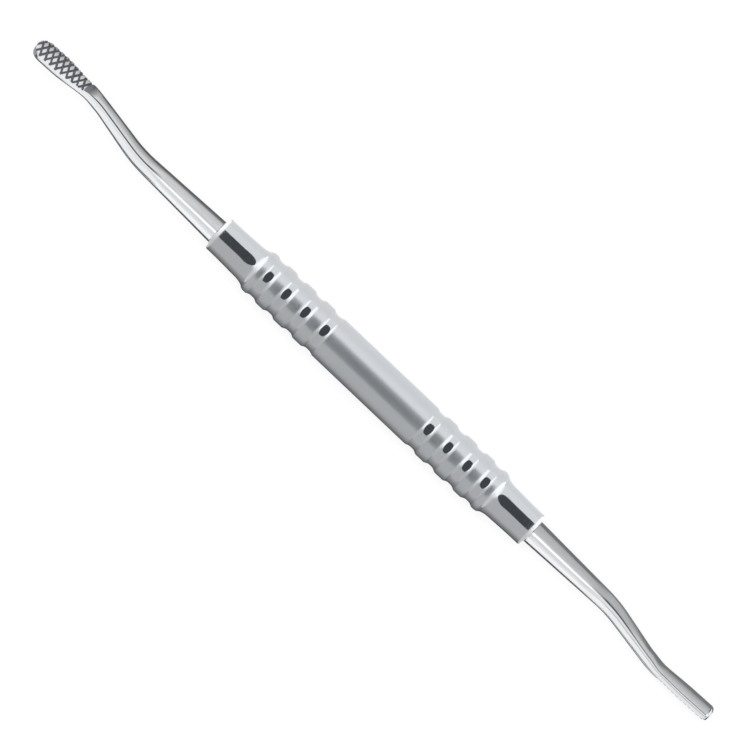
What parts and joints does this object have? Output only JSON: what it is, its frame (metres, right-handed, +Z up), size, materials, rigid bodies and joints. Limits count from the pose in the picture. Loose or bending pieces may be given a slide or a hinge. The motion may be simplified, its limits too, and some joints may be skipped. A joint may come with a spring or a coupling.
{
  "type": "bone file",
  "caption": "Double-ended surgical bone file: hollow ribbed steel handle, bent tapered shanks, a wide and a narrow cross-cut file end.",
  "frame": {"origin": "on the surface that the tool lies on, under the middle of its whole length", "axes": "+X along the handle's axis towards the narrow file end, +Z up, +Y across; the wide end's file face looks up and towards +Y"},
  "size_m": [0.1806, 0.0096, 0.0095],
  "materials": {
    "satin_steel": "satin, with polished grooves and cones",
    "polished_steel": "mirror polished"
  },
  "bodies": {
    "root": {"handle": "satin_steel", "wide_file_end": "polished_steel", "narrow_file_end": "polished_steel"}
  },
  "joints": []
}
